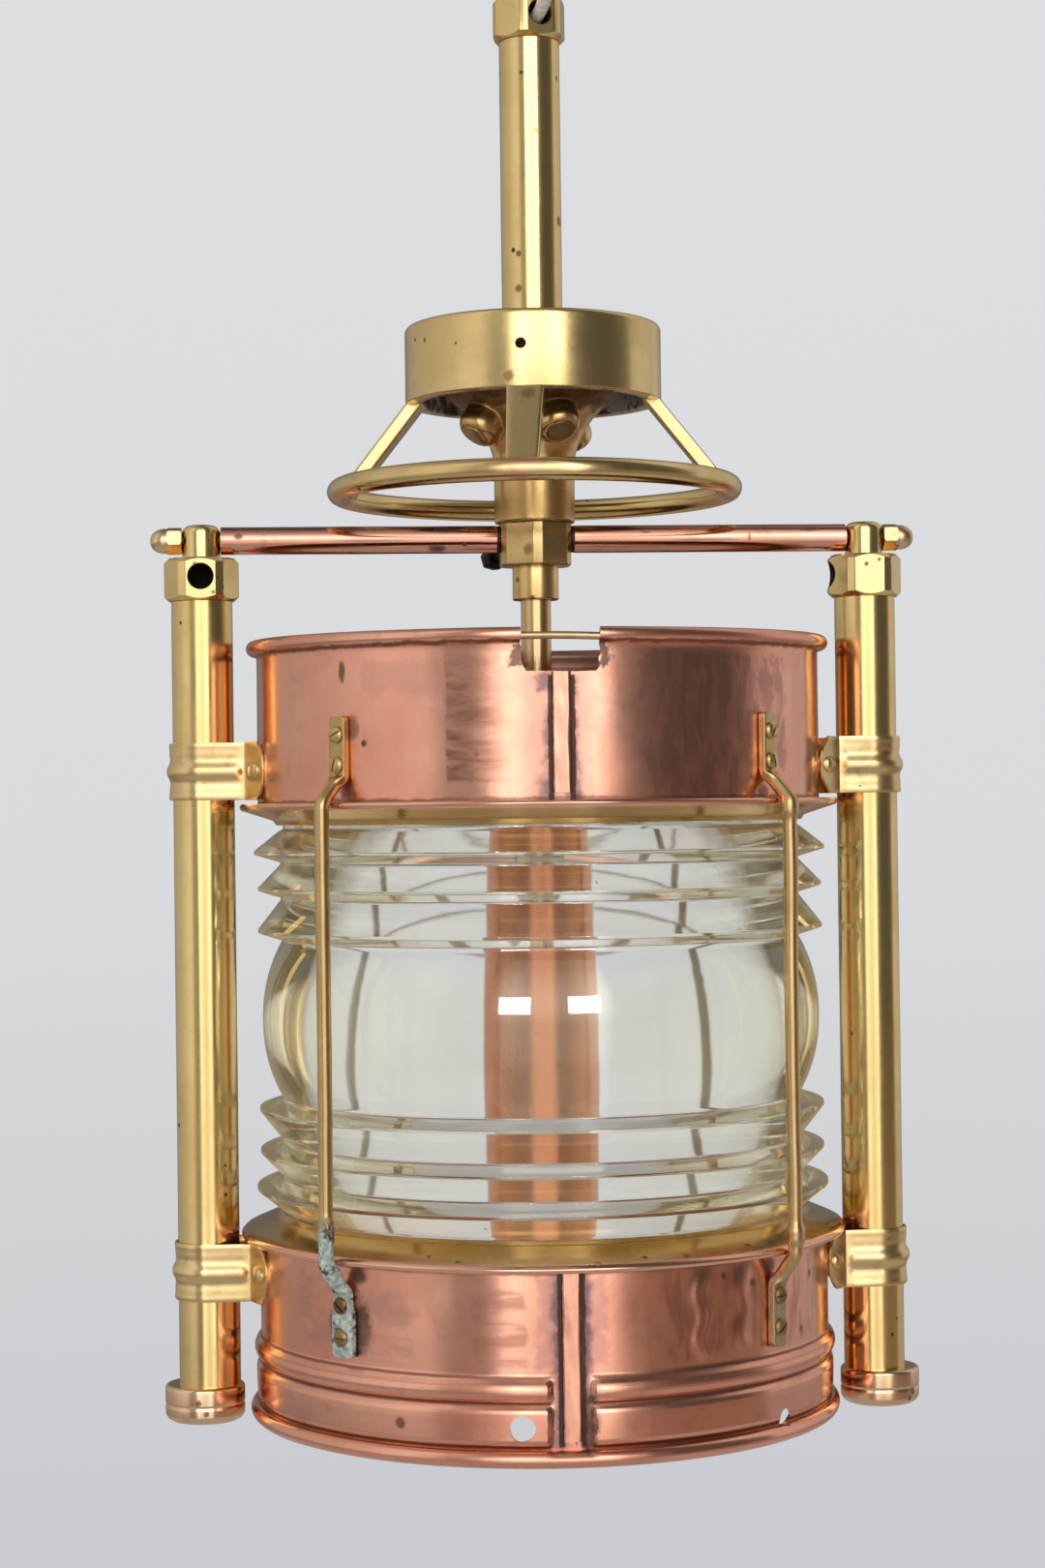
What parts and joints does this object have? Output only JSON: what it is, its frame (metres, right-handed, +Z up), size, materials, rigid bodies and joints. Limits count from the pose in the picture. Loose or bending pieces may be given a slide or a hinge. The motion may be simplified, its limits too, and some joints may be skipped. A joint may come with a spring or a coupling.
{
  "type": "ceiling lamp",
  "caption": "Hanging ship's lantern of brass and copper: a stem with a hand wheel carries a cross bar, two side posts and a ribbed drum lens with guard rods, and a lamp inside.",
  "frame": {"origin": "middle of the cross hole in the neck of the top fitting, where the lamp hangs", "axes": "+Z up along the stem, X along the cross bar, -Y towards the seams and the notch in the drum rim"},
  "size_m": [0.2788, 0.2184, 0.5971],
  "materials": {
    "brass": "polished, with small pits and brown stains",
    "brass_cast": "cast and polished, fine pits",
    "copper": "polished copper with brown patina patches and heat stains",
    "bronze_cap": "polished rosy bronze",
    "brass_flange": "polished, copper-tinted edge",
    "brass_guard": "aged, with green corrosion on two ends",
    "steel": "zinc-plated",
    "dark_steel": "dark, oiled",
    "ceramic": "glazed ceramic",
    "bulb": "opal glass",
    "clear_flex": "clear soft PVC over tinned strands",
    "terminal": "natural nylon",
    "lens_glass": "clear pressed glass with a yellow-green tint",
    "gasket": "old putty and cork"
  },
  "bodies": {
    "hanger": {"top_fitting": "brass", "stem_tube": "brass", "wheel_cup": "brass_cast", "wheel_spokes": "brass_cast", "wheel_ring": "brass_cast", "hub_casting": "brass", "hub_plugs": "brass", "centre_hex": "brass", "ferrule": "brass", "clamp_bolt": "dark_steel", "pivot_rod_left": "steel", "pivot_rod_right": "steel", "spacer_tube_left": "copper", "spacer_tube_right": "copper", "lock_washers": "dark_steel", "acorn_nuts": "brass", "drop_tube": "brass", "lamp_sleeve": "copper", "sleeve_nut": "brass", "lamp_holder": "ceramic", "holder_shell": "brass", "bulb_cap": "steel", "bulb_glass": "bulb", "inner_flex": "clear_flex", "flex_tail": "clear_flex", "terminal_block": "terminal", "terminal_screws": "steel"},
    "lantern": {"post_fitting_left": "brass", "post_fitting_right": "brass", "post_tube_left": "brass", "post_tube_right": "brass", "post_cap_left": "bronze_cap", "post_cap_right": "bronze_cap", "clip_upper_left": "brass", "clip_upper_right": "brass", "clip_lower_left": "brass", "clip_lower_right": "brass", "clip_rivets": "brass", "upper_drum": "copper", "upper_seam_strip": "copper", "hinge_wire": "brass", "upper_flange": "brass_flange", "upper_gasket": "gasket", "lens": "lens_glass", "lower_gasket": "gasket", "lower_flange": "brass_flange", "lower_drum": "copper", "lower_seam_strip": "copper", "guard_front_left": "brass_guard", "guard_front_right": "brass_guard", "guard_rear_left": "brass_guard", "guard_rear_right": "brass_guard", "guard_screws": "brass_guard", "guard_nuts": "brass"}
  },
  "joints": [
    {"name": "lantern_swing", "type": "hinge", "parent": "hanger", "child": "lantern", "pos_m": [0, 0, -0.20295], "axis": [1, 0, 0], "range_deg": [-12, 12]}
  ]
}
